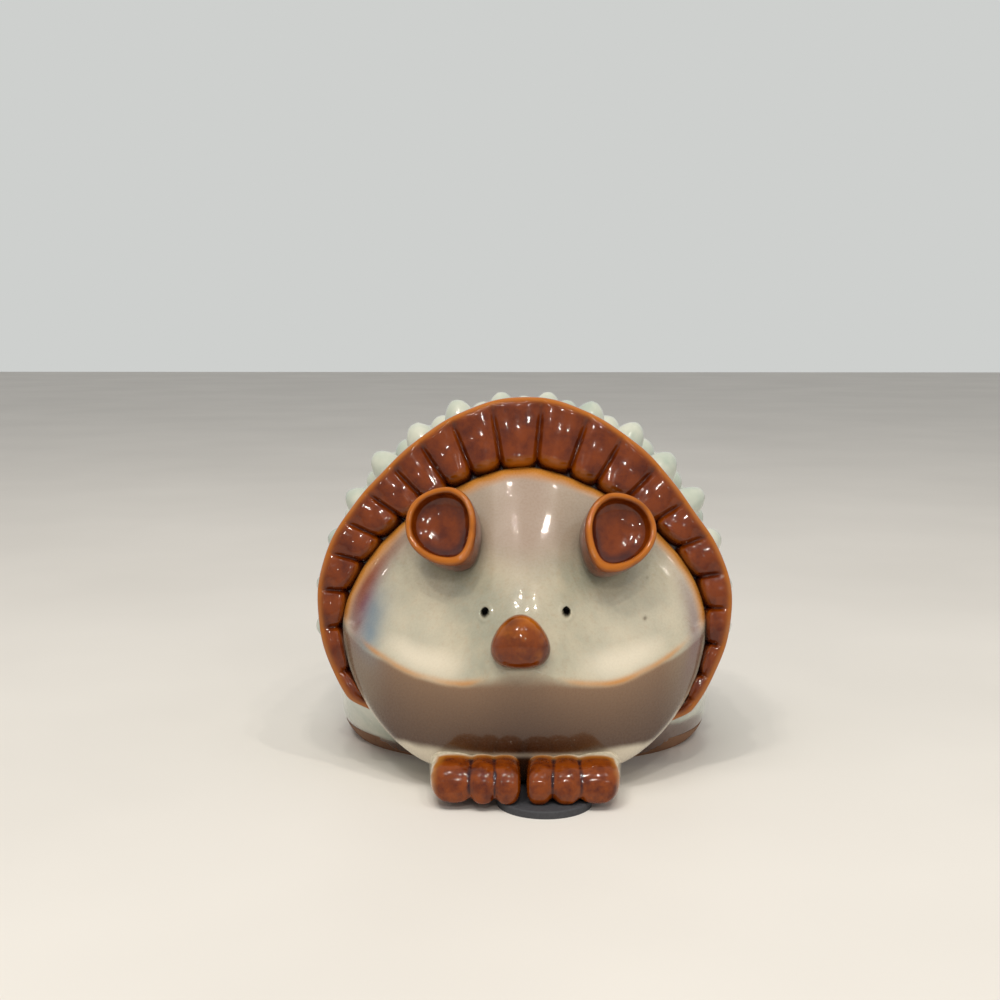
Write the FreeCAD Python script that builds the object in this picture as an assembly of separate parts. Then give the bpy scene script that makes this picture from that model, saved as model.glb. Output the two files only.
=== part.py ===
import FreeCAD
import Part
import math
import os

from FreeCAD import Matrix, Rotation, Vector

# Hedgehog figurine in glazed stoneware, built the way a potter builds it.
# A domed back and a pointed face are two hollow shells on a slab base.
# A fluted ruff, ears, nose, paws and rows of spines are luted on to them.
# Millimetres, +Z up, the face looks along -Y, the base stands on z = 0.

# Back shell
back_radius = 52.5
back_axis_height = 43.5
back_middle_y = 12.0
back_rear_length = 49.0
back_front_length = 104.0
back_front_used = 58.0
back_wall = 5.0
back_roundness = 2.25

# Levels of the skirt below the crown. Each row of shares is its height share, its
# width share, its front length share and how much of that front length is used
skirt_level_shares = (
    (0.00, 0.985, 0.330, 0.970),
    (0.06, 1.030, 0.350, 0.960),
    (0.16, 1.065, 0.400, 0.930),
    (0.36, 1.080, 0.530, 0.860),
    (0.68, 1.045, 0.760, 0.720),
    (1.00, 1.000, 1.000, 0.558),
)

# Slab base with its vent
slab_thickness = 5.0
vent_diameter = 8.0
vent_y = 6.0

# Ruff: a flat band round the face, and one row of broad pressed lobes on it
ruff_radius = 57.0
ruff_swell = 1.7
ruff_tilt_degrees = 12.0
ruff_middle_y = -20.0
ruff_middle_height = 47.0
ruff_end_degrees = -41.0
ruff_rim = 2.2
band_thickness = 4.2
band_edge_round = 1.3
lobe_count = 22
lobe_height = 5.0
lobe_rim_height = 1.0
lobe_crown_radius = 6.2
lobe_gap = 0.7
lobe_least = 3.6
lobe_end_gap = 1.6

# Face shell. Each row of shares is a level: its height share of the face, then its
# half-width share, its reach share and the fullness of its curve
face_bottom = 2.0
face_top = 85.5
face_half_width = 51.5
face_reach = 33.0
face_edge = 4.6
face_wall = 5.0
face_floor = 5.0
heel_height = 15.0
heel_length = 16.0
face_level_shares = (
    (0.000, 0.60, 0.450, 2.6),
    (0.060, 0.68, 0.520, 2.6),
    (0.140, 0.77, 0.610, 2.5),
    (0.230, 0.875, 0.750, 2.4),
    (0.320, 0.955, 0.910, 2.2),
    (0.385, 0.990, 0.990, 2.1),
    (0.430, 1.000, 1.000, 1.9),
    (0.490, 0.995, 0.925, 1.75),
    (0.570, 0.960, 0.800, 1.65),
    (0.660, 0.880, 0.640, 1.6),
    (0.760, 0.750, 0.485, 1.7),
    (0.860, 0.570, 0.340, 1.9),
    (0.950, 0.340, 0.210, 2.2),
    (1.000, 0.170, 0.130, 2.4),
)
front_samples = 13
eye_diameter = 2.2
eye_spacing = 21.4
eye_height = 54.5

# Nose
nose_width = 16.4
nose_height = 15.6
nose_depth = 15.0
nose_middle_height = 44.5
nose_sink = 2.6

# Ears
ear_width = 20.0
ear_length = 24.5
ear_rim = 2.3
ear_slope = 1.6
ear_hollow = 2.6
ear_root = 18.0
ear_middle_x = 24.5
ear_middle_height = 71.0
ear_front_reach = 17.6
ear_lean_degrees = 24.0
ear_turn_degrees = 16.0
ear_back_degrees = 30.0

# Paws: toe widths from the middle of the figure outwards, and how far each toe fans out
paw_height = 11.6
paw_front_y = -61.5
paw_depth = 22.0
paw_gap = 2.4
paw_corner_round = 8.0
toe_widths = (5.7, 6.2, 11.5)
toe_fan_degrees = (0.0, 0.0, 22.0)
toe_back_steps = (0.0, 0.3, 0.9)
toe_overlap = 0.9
toe_round = 2.2

# Spines
spine_diameter = 11.2
spine_length = 11.6
spine_sink = 2.6
spine_tip_radius = 3.5
spine_tip_start_degrees = 18.0
spine_bulge = 0.35
spine_pitch = 12.0
spine_row_pitch = 13.0
spine_first_row = 12.0
spine_lowest = 37.0
spine_crown_sweep_degrees = 14.0
spine_flank_sweep_degrees = 34.0
spine_row_total = 8

# Stick-on pad under the paws
pad_diameter = 25.4
pad_middle_x = 5.5
pad_front_overhang = 4.8
pad_edge_round = 0.5

# One overrun for every cut, and the step of the points that centre the figure
overrun = 5.0
mesh_step = 0.02

up = Vector(0, 0, 1)
tilt = math.radians(ruff_tilt_degrees)
ruff_middle = Vector(0, ruff_middle_y, ruff_middle_height)
whole = 2 * (back_radius + back_rear_length + back_front_length)
parts = {}


def ruff_point(angle, radius, forward=0.0):
    # A point on the ruff's own leaning plane, or so far in front of it
    level = radius * math.sin(angle)
    return ruff_middle + Vector(
        radius * math.cos(angle),
        level * math.sin(tilt) - forward * math.cos(tilt),
        level * math.cos(tilt) + forward * math.sin(tilt),
    )


def ruff_edge(angle):
    # The rim swells a little at the crown and at both cheeks
    return ruff_radius + ruff_swell * math.cos(4 * angle)


def ruff_plane_y(height):
    return ruff_middle_y + (height - ruff_middle_height) * math.tan(tilt)


def ruff_normal():
    return Vector(0, -math.cos(tilt), math.sin(tilt))


def half_space(in_front):
    # A block on one side of the ruff's plane
    block = Part.makeBox(whole, whole, whole, Vector(-whole / 2, 0 if not in_front else -whole, -whole / 2))
    block.Placement = FreeCAD.Placement(ruff_middle, Rotation(Vector(1, 0, 0), -ruff_tilt_degrees))
    return block


def level_block(low, high):
    return Part.makeBox(whole, whole, high - low, Vector(-whole / 2, -whole / 2, low))


def spline(points, start=None, end=None):
    curve = Part.BSplineCurve()
    if start is None:
        curve.interpolate(points)
    else:
        curve.interpolate(Points=points, InitialTangent=start, FinalTangent=end)
    return curve.toShape()


def back_outline_point(turn, inset=0.0, wider=1.0, front=1.0):
    # Half-width and y of the back's outline. The turn is 0 at the tail and 90 degrees where it is widest
    power = 2 / back_roundness
    half = wider * back_radius - inset
    if turn <= math.pi / 2:
        across = half * abs(math.sin(turn)) ** power
        along = (back_rear_length * wider - inset) * abs(math.cos(turn)) ** power
    else:
        across = half * math.sin(turn)
        along = -(back_front_length * front - inset) * abs(math.cos(turn))
    return across, back_middle_y + along


def back_last_turn(used=back_front_used / back_front_length):
    return math.pi / 2 + math.asin(used)


def back_profile(inset, wider=1.0, front=1.0, used=back_front_used / back_front_length):
    # One side of the outline, from the front round to the middle of the tail
    steps = 16
    points = []
    for step in range(steps + 1):
        turn = back_last_turn(used) * (1 - step / steps)
        across, y = back_outline_point(turn, inset, wider, front)
        points.append(Vector(across, y, 0))
    ahead = (points[1] - points[0]).normalize()
    return spline(points, ahead, Vector(-1, 0, 0))


def back_level_wire(profile, height):
    first = profile.valueAt(profile.FirstParameter)
    mirrored = profile.mirror(Vector(0, 0, 0), Vector(1, 0, 0))
    front = Part.makeLine(Vector(-first.x, first.y, 0), first)
    outline = Part.Wire(Part.__sortEdges__([front, profile, mirrored]))
    outline.translate(Vector(0, 0, height))
    return outline


def back_solid(inset):
    profile = back_profile(inset)
    first = profile.valueAt(profile.FirstParameter)
    last = profile.valueAt(profile.LastParameter)
    closing = [
        Part.makeLine(last, Vector(0, first.y, 0)),
        Part.makeLine(Vector(0, first.y, 0), first),
    ]
    half = Part.Face(Part.Wire([profile] + closing))
    half.translate(Vector(0, 0, back_axis_height))
    crown = half.revolve(Vector(0, 0, back_axis_height), Vector(0, -1, 0), 180)
    levels = []
    for height_share, wider, front, used in skirt_level_shares[:-1]:
        levels.append(back_level_wire(back_profile(inset, wider, front, used), height_share * back_axis_height))
    levels.append(back_level_wire(profile, back_axis_height))
    return crown, Part.makeLoft(levels, True, False)


def back_block(inset=0.0):
    crown, skirt = back_solid(inset)
    block = crown.fuse(skirt).removeSplitter()
    return block.cut(half_space(True))


def face_level(index, inset):
    height_share, width_share, reach_share, fullness = face_level_shares[index]
    height = face_bottom + height_share * (face_top - face_bottom)
    half = width_share * face_half_width - inset
    reach = reach_share * face_reach - inset
    edge = min(face_edge, reach) if inset == 0 else 0.0
    return height, half, reach, fullness, edge


def face_level_wire(height, half, reach, fullness, edge):
    plane_y = ruff_plane_y(height)
    front = []
    for sample in range(front_samples):
        share = math.sin(math.pi * (sample / (front_samples - 1) - 0.5))
        depth = edge + (reach - edge) * (1 - abs(share) ** fullness)
        front.append(Vector(share * half, plane_y - depth, height))
    right = Vector(half, plane_y + heel_length, height)
    left = Vector(-half, plane_y + heel_length, height)
    return Part.Wire([
        spline(front),
        Part.makeLine(front[-1], right),
        Part.makeLine(right, left),
        Part.makeLine(left, front[0]),
    ])


def face_block(back, inset=0.0):
    # Above its heel the face ends at the ruff's plane. The heel runs on under it to the back shell
    levels = []
    for index in range(len(face_level_shares)):
        height, half, reach, fullness, edge = face_level(index, inset)
        if half > face_wall and reach > inset / 2:
            levels.append(face_level_wire(height, half, reach, fullness, edge))
    block = Part.makeLoft(levels, True, False)
    block = block.cut(half_space(False).common(level_block(heel_height, whole)))
    return block.cut(back)


def face_depth(x, height):
    # How far the face stands in front of the ruff's plane, measured along y
    share = (height - face_bottom) / (face_top - face_bottom)
    for low, high in zip(face_level_shares, face_level_shares[1:]):
        if low[0] <= share <= high[0]:
            part_way = (share - low[0]) / (high[0] - low[0])
            width, reach, full = [low[k] + part_way * (high[k] - low[k]) for k in (1, 2, 3)]
            across = min(1.0, abs(x) / (width * face_half_width))
            return face_edge + (reach * face_reach - face_edge) * (1 - across ** full)
    return face_edge


def face_half_width_at(height):
    share = (height - face_bottom) / (face_top - face_bottom)
    for low, high in zip(face_level_shares, face_level_shares[1:]):
        if low[0] <= share <= high[0]:
            part_way = (share - low[0]) / (high[0] - low[0])
            return face_half_width * (low[1] + part_way * (high[1] - low[1]))
    return 0.0


def face_edge_radius(angle):
    # Where the face's edge crosses this direction on the ruff's plane
    low, high = 0.0, ruff_radius
    while high - low > ruff_rim / 100:
        middle = (low + high) / 2
        point = ruff_point(angle, middle)
        if abs(point.x) < face_half_width_at(point.z):
            low = middle
        else:
            high = middle
    return low


def make_back_shell(outer):
    shell = outer.cut(back_block(back_wall))
    return shell.common(level_block(slab_thickness, whole))


def make_base_slab(outer):
    slab = outer.common(level_block(0, slab_thickness))
    vent = Part.makeCylinder(vent_diameter / 2, slab_thickness + 2 * overrun, Vector(0, vent_y, -overrun), up)
    return slab.cut(vent)


def make_face_shell(outer, back):
    hollow = face_block(back, face_wall).common(level_block(face_bottom + face_floor, whole))
    shell = outer.cut(hollow)
    for side in (-1, 1):
        start = Vector(side * eye_spacing / 2, ruff_middle_y - face_reach - overrun, eye_height)
        shell = shell.cut(Part.makeCylinder(eye_diameter / 2, face_reach + overrun, start, Vector(0, 1, 0)))
    return shell


def flat_plate(edges, thickness):
    plate = Part.Face(Part.Wire(edges)).extrude(ruff_normal() * thickness)
    return plate


def make_ruff_band(face):
    first = math.radians(ruff_end_degrees)
    last = math.pi - first
    steps = 2 * lobe_count
    angles = [first + (last - first) * step / steps for step in range(steps + 1)]
    rim = spline([ruff_point(angle, ruff_edge(angle)) for angle in angles])
    chord = Part.makeLine(ruff_point(last, ruff_edge(last)), ruff_point(first, ruff_edge(first)))
    plate = flat_plate([rim, chord], band_thickness)
    front_edges = [e for e in plate.Edges if len(e.Vertexes) == 2 and on_front(e, band_thickness)]
    return plate.makeFillet(band_edge_round, front_edges).cut(face)


def on_front(edge, distance):
    middle = edge.valueAt((edge.FirstParameter + edge.LastParameter) / 2)
    return abs((middle - ruff_middle).dot(ruff_normal()) - distance) < lobe_gap / 10


def make_lobe(angle, half_turn):
    # A flute with a round back and a round inner end, which sinks into the band at the rim
    outer_radius = ruff_edge(angle) - ruff_rim
    inner_radius = min(face_edge_radius(angle) + lobe_end_gap, outer_radius - lobe_least)
    start = ruff_point(angle, inner_radius + lobe_crown_radius, band_thickness + lobe_height - lobe_crown_radius)
    end = ruff_point(angle, ruff_edge(angle) + lobe_crown_radius, band_thickness + lobe_rim_height - lobe_crown_radius)
    along = end - start
    rod = Part.makeCylinder(lobe_crown_radius, along.Length, start, along)
    rod = rod.fuse(Part.makeSphere(lobe_crown_radius, start))
    near = inner_radius - lobe_gap
    side_near = half_turn - lobe_gap / 2 / near
    side_far = half_turn - lobe_gap / 2 / outer_radius
    corners = [
        ruff_point(angle - side_near, near, band_thickness),
        ruff_point(angle - side_far, outer_radius, band_thickness),
        ruff_point(angle + side_far, outer_radius, band_thickness),
        ruff_point(angle + side_near, near, band_thickness),
    ]
    wedge = flat_plate(Part.makePolygon(corners + corners[:1]).Edges, lobe_height + overrun)
    return rod.common(wedge)


def make_ruff_lobes(face):
    first = math.radians(ruff_end_degrees)
    pitch = (math.pi - 2 * first) / lobe_count
    lobes = []
    for index in range(lobe_count):
        lobes.append(make_lobe(first + (index + 0.5) * pitch, pitch / 2).cut(face))
    return Part.makeCompound(lobes)


def ear_outline(inset):
    # A drop: round at the top, drawn in to a blunt point at the foot
    half = ear_width / 2 - inset
    top = half
    foot = half - (ear_length - 2 * inset)
    turn = math.radians(25)
    side = Vector(half * math.cos(turn), 0, -half * math.sin(turn))
    tip_half = half / 3.2
    tip_rise = foot + tip_half * 0.55
    right_tip = Vector(tip_half, 0, tip_rise)
    left_tip = Vector(-tip_half, 0, tip_rise)
    left_side = Vector(-side.x, 0, side.z)
    bulge = Vector(side.x * 0.76, 0, (side.z + tip_rise) / 2 - half * 0.02)
    return Part.Wire([
        Part.Arc(left_side, Vector(0, 0, top), side).toShape(),
        Part.Arc(side, bulge, right_tip).toShape(),
        Part.Arc(right_tip, Vector(0, 0, foot), left_tip).toShape(),
        Part.Arc(left_tip, Vector(-bulge.x, 0, bulge.z), left_side).toShape(),
    ])


def place_ear(shape, side):
    spot_y = ruff_plane_y(ear_middle_height) - ear_front_reach
    shape.rotate(Vector(0, 0, 0), Vector(0, 1, 0), side * ear_lean_degrees)
    shape.rotate(Vector(0, 0, 0), up, side * ear_turn_degrees)
    shape.rotate(Vector(0, 0, 0), Vector(1, 0, 0), -ear_back_degrees)
    shape.translate(Vector(side * ear_middle_x, spot_y, ear_middle_height))
    return shape


def make_ear(side, neighbours):
    # A thick drop pressed against the head, trimmed to it, then dished from the front
    blank = place_ear(Part.Face(ear_outline(0)).extrude(Vector(0, ear_root, 0)), side)
    for neighbour in neighbours:
        blank = blank.cut(neighbour)
    ear = min(blank.Solids, key=lambda solid: solid.CenterOfMass.y)
    mouth = ear_outline(ear_rim)
    floor = ear_outline(ear_rim + ear_slope)
    mouth.translate(Vector(0, -ear_slope, 0))
    floor.translate(Vector(0, ear_hollow, 0))
    dish = Part.makeLoft([mouth, floor], True, True)
    return largest(ear.cut(place_ear(dish, side)))


def largest(shape):
    return max(shape.Solids, key=lambda solid: solid.Volume)


def make_nose(face):
    ball = Part.makeSphere(1.0)
    stretch = Matrix()
    stretch.scale(nose_width / 2, nose_depth / 2, nose_height / 2)
    seat_y = ruff_plane_y(nose_middle_height) - face_depth(0, nose_middle_height)
    stretch.move(Vector(0, seat_y - nose_sink, nose_middle_height))
    return largest(ball.transformGeometry(stretch).cut(face))


def make_toe(width):
    back = paw_depth
    profile = [
        Part.makeLine(Vector(0, back, 0), Vector(0, 0, 0)),
        Part.makeLine(Vector(0, 0, 0), Vector(0, 0, paw_height - paw_corner_round)),
        Part.Arc(
            Vector(0, 0, paw_height - paw_corner_round),
            Vector(0, paw_corner_round * (1 - math.sqrt(0.5)), paw_height - paw_corner_round * (1 - math.sqrt(0.5))),
            Vector(0, paw_corner_round, paw_height),
        ).toShape(),
        Part.makeLine(Vector(0, paw_corner_round, paw_height), Vector(0, back, paw_height)),
        Part.makeLine(Vector(0, back, paw_height), Vector(0, back, 0)),
    ]
    toe = Part.Face(Part.Wire(profile)).extrude(Vector(width, 0, 0))
    near = lobe_gap / 10
    sides = [
        e for e in toe.Edges
        if (e.BoundBox.XLength < near and e.BoundBox.ZMax > near and e.BoundBox.YMin < back - near)
    ]
    return toe.makeFillet(toe_round, sides)


def make_paw(side, neighbours):
    start = paw_gap / 2
    toes = []
    for width, fan, step in zip(toe_widths, toe_fan_degrees, toe_back_steps):
        toe = make_toe(width + toe_overlap)
        toe.rotate(Vector(0, 0, 0), up, fan)
        toe.translate(Vector(start, paw_front_y + step, face_bottom))
        toes.append(toe)
        start += width
    paw = toes[0].fuse(toes[1:]).removeSplitter()
    if side < 0:
        paw = paw.mirror(Vector(0, 0, 0), Vector(1, 0, 0))
    for neighbour in neighbours:
        paw = paw.cut(neighbour)
    return largest(paw)


def make_pad():
    middle_y = paw_front_y - pad_front_overhang + pad_diameter / 2
    disc = Part.makeCylinder(pad_diameter / 2, face_bottom, Vector(pad_middle_x, middle_y, 0), up)
    return disc.makeFillet(pad_edge_round, disc.Edges[:1])


def make_spine():
    # A blunt bullet along +Z whose foot lies below the surface that it is trimmed to
    foot = spine_diameter / 2
    start = math.radians(spine_tip_start_degrees)
    half_way = (start + math.pi / 2) / 2
    tip_middle = spine_length - spine_tip_radius
    shoulder = spine_tip_radius * Vector(math.cos(start), 0, math.sin(start)) + Vector(0, 0, tip_middle)
    crown = spine_tip_radius * Vector(math.cos(half_way), 0, math.sin(half_way)) + Vector(0, 0, tip_middle)
    belly = Vector((foot + shoulder.x) / 2 + spine_bulge, 0, shoulder.z / 2)
    profile = Part.Wire([
        Part.makeLine(Vector(0, 0, -spine_sink), Vector(foot, 0, -spine_sink)),
        Part.makeLine(Vector(foot, 0, -spine_sink), Vector(foot, 0, 0)),
        Part.Arc(Vector(foot, 0, 0), belly, shoulder).toShape(),
        Part.Arc(shoulder, crown, Vector(0, 0, spine_length)).toShape(),
        Part.makeLine(Vector(0, 0, spine_length), Vector(0, 0, -spine_sink)),
    ])
    return Part.Face(profile).revolve(Vector(0, 0, 0), up, 360)


def back_walk():
    # The outline in short steps from the ruff to the tail: distance walked, half-width and y
    steps = 400
    walked = 0.0
    before = None
    places = []
    for step in range(steps + 1):
        across, y = back_outline_point(back_last_turn() * (1 - step / steps))
        if y < ruff_plane_y(back_axis_height):
            continue
        if before:
            walked += math.hypot(across - before[0], y - before[1])
        before = (across, y)
        places.append((walked, across, y))
    return places


def row_place(walk, distance):
    # Half-width, y and the outline's outward direction at this distance behind the ruff
    index = min(range(len(walk)), key=lambda k: abs(walk[k][0] - distance))
    index = min(max(index, 1), len(walk) - 2)
    before, here, after = walk[index - 1], walk[index], walk[index + 1]
    along = Vector(after[1] - before[1], after[2] - before[2], 0).normalize()
    return here[1], here[2], Vector(-along.y, along.x, 0) * -1


def spine_seats(walk, distance, staggered):
    # Seats of one row: up one flank, over the back and down the other flank
    across, y, outward = row_place(walk, distance)
    flank = back_axis_height - spine_lowest
    over = math.pi * across
    path = over + 2 * flank
    count = max(2, round(path / spine_pitch))
    lean_share = 1 - distance / walk[-1][0]
    seats = []
    for index in range(count if staggered else count + 1):
        place = path * (index + (0.5 if staggered else 0)) / count
        if place < flank or place > path - flank:
            side = 1 if place < flank else -1
            height = back_axis_height - (flank - place if side > 0 else place - (path - flank))
            seat = Vector(side * across, y, height)
            normal = Vector(side * outward.x, outward.y, 0)
        else:
            angle = (place - flank) / over * math.pi
            lean = lean_share * across * math.sin(angle) * math.tan(tilt)
            wide, lean_y, turned = row_place(walk, min(distance + lean, walk[-1][0]))
            seat = Vector(wide * math.cos(angle), lean_y, back_axis_height + wide * math.sin(angle))
            normal = Vector(turned.x * math.cos(angle), turned.y, turned.x * math.sin(angle))
        seats.append((seat, normal))
    return seats


def make_spine_row(outer, blank, walk, number):
    distance = spine_first_row + number * spine_row_pitch
    spines = []
    for seat, normal in spine_seats(walk, distance, number % 2 == 1):
        flank_share = abs(normal.x) ** 2
        sweep = spine_crown_sweep_degrees * (1 - flank_share) + spine_flank_sweep_degrees * flank_share
        swept = normal + Vector(0, math.tan(math.radians(sweep)), 0)
        spine = blank.copy()
        spine.Placement = FreeCAD.Placement(seat, Rotation(up, swept))
        spines.append(largest(spine.cut(outer)))
    return Part.makeCompound(spines)


def build():
    back = back_block()
    face = face_block(back)
    parts["back_shell"] = make_back_shell(back)
    parts["base_slab"] = make_base_slab(back)
    parts["face_shell"] = make_face_shell(face, back)
    parts["ruff_band"] = make_ruff_band(face)
    parts["ruff_lobes"] = make_ruff_lobes(face)
    ruff = [parts["ruff_band"], parts["ruff_lobes"]]
    parts["left_ear"] = make_ear(1, [face] + ruff)
    parts["right_ear"] = make_ear(-1, [face] + ruff)
    parts["nose"] = make_nose(face)
    parts["left_paw"] = make_paw(1, [face, back])
    parts["right_paw"] = make_paw(-1, [face, back])
    parts["front_pad"] = make_pad()
    walk = back_walk()
    blank = make_spine()
    for number in range(spine_row_total):
        parts["spine_row_%d" % (number + 1)] = make_spine_row(back, blank, walk, number)


def middle_of_figure():
    # The middle of the whole figure front to back, from fine points on its foremost and rearmost parts
    front = min(point.y for point in parts["front_pad"].tessellate(mesh_step)[0])
    rows = [shape for name, shape in parts.items() if name.startswith("spine_row")]
    rear = max(point.y for row in rows for point in row.tessellate(mesh_step)[0])
    return (front + rear) / 2


build()
shift = Vector(0, -middle_of_figure(), 0)
print("moved along y by %.4f" % shift.y)
for shape in parts.values():
    shape.translate(shift)
os.makedirs("parts", exist_ok=True)
for name, shape in parts.items():
    shape.exportStep("parts/%s.step" % name)
    box = shape.BoundBox
    print(
        "%-12s solids %3d valid %s volume %9.1f  x %.1f..%.1f  y %.1f..%.1f  z %.1f..%.1f" % (
            name, len(shape.Solids), shape.isValid(), shape.Volume,
            box.XMin, box.XMax, box.YMin, box.YMax, box.ZMin, box.ZMax,
        )
    )
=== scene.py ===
import math
import bpy
import bmesh
import numpy as np
from mathutils import Euler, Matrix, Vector, noise


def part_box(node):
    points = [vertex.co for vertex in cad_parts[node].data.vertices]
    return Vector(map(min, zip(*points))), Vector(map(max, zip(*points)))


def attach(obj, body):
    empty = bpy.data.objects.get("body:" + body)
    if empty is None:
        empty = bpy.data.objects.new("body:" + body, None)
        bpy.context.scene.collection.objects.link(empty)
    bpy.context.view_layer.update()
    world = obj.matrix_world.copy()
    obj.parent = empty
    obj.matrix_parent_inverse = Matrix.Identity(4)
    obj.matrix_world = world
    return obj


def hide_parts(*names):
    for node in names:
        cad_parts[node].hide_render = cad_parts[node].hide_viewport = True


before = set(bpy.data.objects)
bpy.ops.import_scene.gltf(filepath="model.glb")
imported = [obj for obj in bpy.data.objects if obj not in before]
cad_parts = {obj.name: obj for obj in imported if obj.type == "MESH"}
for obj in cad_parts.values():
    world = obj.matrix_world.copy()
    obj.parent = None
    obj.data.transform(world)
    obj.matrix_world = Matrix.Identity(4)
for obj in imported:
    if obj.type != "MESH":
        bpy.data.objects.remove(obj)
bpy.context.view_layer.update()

mm = 0.001
rng = np.random.default_rng(17)

# the figure was centred front to back at the end, so every y below moves by this much
padFrontDrawn = -66.3
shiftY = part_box("front_pad")[0][1] / mm - padFrontDrawn

# the leaning plane that the ruff and the face are built on
ruffPlane = {"tilt": math.radians(12.0), "y": -20.0, "z": 47.0}
tanTilt = math.tan(ruffPlane["tilt"])
print("frame loaded, figure moved by", round(shiftY, 3), "mm")


def planeY(z):
    return ruffPlane["y"] + (z - ruffPlane["z"]) * tanTilt


def ease(low, high, value):
    t = np.clip((value - low) / (high - low), 0.0, 1.0)
    return t * t * (3 - 2 * t)


def unit(value):
    return np.clip(value, 0, 1)


def bump(value, middle, width):
    return np.exp(-(((value - middle) / width) ** 2))


def ruffToWorld(angle, radius, forward):
    level = radius * np.sin(angle)
    tilt = ruffPlane["tilt"]
    x = radius * np.cos(angle)
    y = ruffPlane["y"] + level * math.sin(tilt) - forward * math.cos(tilt)
    z = ruffPlane["z"] + level * math.cos(tilt) + forward * math.sin(tilt)
    return np.stack([x, y, z], axis=-1)


def roundTable(degrees, values, samples=1441, soften=29):
    # a closed curve through a few measured spots, softened between them
    order = np.argsort(degrees)
    spots = np.radians(np.asarray(degrees, float)[order])
    sizes = np.asarray(values, float)[order]
    spots = np.concatenate([spots - 2 * math.pi, spots, spots + 2 * math.pi])
    sizes = np.concatenate([sizes, sizes, sizes])
    fine = np.linspace(-math.pi, 3 * math.pi, samples)
    curve = np.interp(fine, spots, sizes)
    kernel = np.hanning(soften)
    kernel /= kernel.sum()
    reach = soften // 2 + 1
    padded = np.concatenate([curve[-reach:-1], curve, curve[1:reach]])
    curve = np.convolve(padded, kernel, "valid")

    def read(angle):
        return np.interp(np.mod(angle, 2 * math.pi), fine, curve)
    return read


def cloud(points, size, depth, seed):
    # soft clay noise at each point, about -1 to 1
    out = np.empty(len(points))
    for i, p in enumerate(points):
        out[i] = noise.fractal(Vector((p[0] / size + seed, p[1] / size, p[2] / size)), 1.0, 2.0, depth)
    return out


def placed(points):
    # from mm in the frame that the figure was drawn in to metres in the shared frame
    moved = np.array(points, float) * mm
    moved[:, 1] += shiftY * mm
    return moved


def addObject(name, data):
    thing = bpy.data.objects.new(name, data)
    bpy.context.scene.collection.objects.link(thing)
    return thing


def makeMesh(name, points, faces, masks={}):
    mesh = bpy.data.meshes.new(name)
    mesh.from_pydata(placed(points).tolist(), [], faces)
    mesh.update()
    piece = addObject(name, mesh)
    tool = bmesh.new()
    tool.from_mesh(mesh)
    bmesh.ops.recalc_face_normals(tool, faces=tool.faces)
    tool.to_mesh(mesh)
    tool.free()
    mesh.shade_smooth()
    for key, values in masks.items():
        setMask(mesh, key, values)
    return piece


def setMask(mesh, key, values):
    layer = mesh.attributes.get(key) or mesh.attributes.new(key, "FLOAT", "POINT")
    layer.data.foreach_set("value", np.asarray(values, np.float32))


def readPoints(mesh, key="co"):
    flat = np.empty(len(mesh.vertices) * 3)
    mesh.vertices.foreach_get(key, flat)
    return flat.reshape(-1, 3)


def meshEdges(mesh):
    flat = np.empty(len(mesh.edges) * 2, dtype=np.int64)
    mesh.edges.foreach_get("vertices", flat)
    return flat.reshape(-1, 2)


def spread(values, edges, count, rounds):
    # average over neighbours, again and again
    own, shared = 0.35, 0.65
    values = np.array(values, float)
    flat = values.ndim == 1
    if flat:
        values = values[:, None]
    degree = np.bincount(edges.ravel(), minlength=count).astype(float)[:, None]
    degree[degree == 0] = 1
    for _ in range(rounds):
        total = np.empty_like(values)
        for k in range(values.shape[1]):
            total[:, k] = np.bincount(edges[:, 0], values[edges[:, 1], k], count)
            total[:, k] += np.bincount(edges[:, 1], values[edges[:, 0], k], count)
        values = own * values + shared * total / degree
    return values[:, 0] if flat else values


def markRelief(piece, rounds, gain):
    # glaze thins on ridges and pools in hollows, so two masks hold
    # how far each point stands off its surroundings
    mesh = piece.data
    points = readPoints(mesh) / mm
    normals = readPoints(mesh, "normal")
    edges = meshEdges(mesh)
    count = len(points)
    near = spread(points, edges, count, rounds[0])
    far = spread(near, edges, count, rounds[1])
    fine = np.einsum("ij,ij->i", points - near, normals)
    broad = np.einsum("ij,ij->i", near - far, normals)
    fineShare = 2.2
    relief = spread(fine * fineShare + broad, edges, count, 2)
    setMask(mesh, "ridge", unit(relief * gain[0]))
    setMask(mesh, "hollow", unit(-relief * gain[1]))


def figurePoints(mesh):
    # in mm, in the frame that the figure was drawn in
    points = readPoints(mesh) / mm
    points[:, 1] -= shiftY
    return points


def placeTool(tool):
    for vert in tool.verts:
        vert.co = Vector((vert.co.x * mm, (vert.co.y + shiftY) * mm, vert.co.z * mm))


def pieceFromTool(tool, name):
    mesh = bpy.data.meshes.new(name)
    tool.to_mesh(mesh)
    tool.free()
    return addObject(name, mesh)


def closeTube(tool, rings):
    count = len(rings[0])
    for a, b in zip(rings, rings[1:]):
        for c in range(count):
            tool.faces.new((a[c], a[(c + 1) % count], b[(c + 1) % count], b[c]))
    tool.faces.new(rings[0][::-1])
    tool.faces.new(rings[-1])


def gridFaces(rows, columns, wrap=True):
    faces = []
    last = columns if wrap else columns - 1
    for r in range(rows - 1):
        a = r * columns
        b = a + columns
        for c in range(last):
            d = (c + 1) % columns
            faces.append((a + c, a + d, b + d, b + c))
    return faces


def closedFaces(rows, columns):
    faces = gridFaces(rows, columns)
    faces.append(list(range(columns)))
    faces.append([(rows - 1) * columns + c for c in range(columns)][::-1])
    return faces


def dress(piece, material, slot, *nodes):
    piece.data.materials.clear()
    piece.data.materials.append(material)
    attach(piece, "root")
    if nodes:
        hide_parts(*nodes)


# materials

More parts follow.
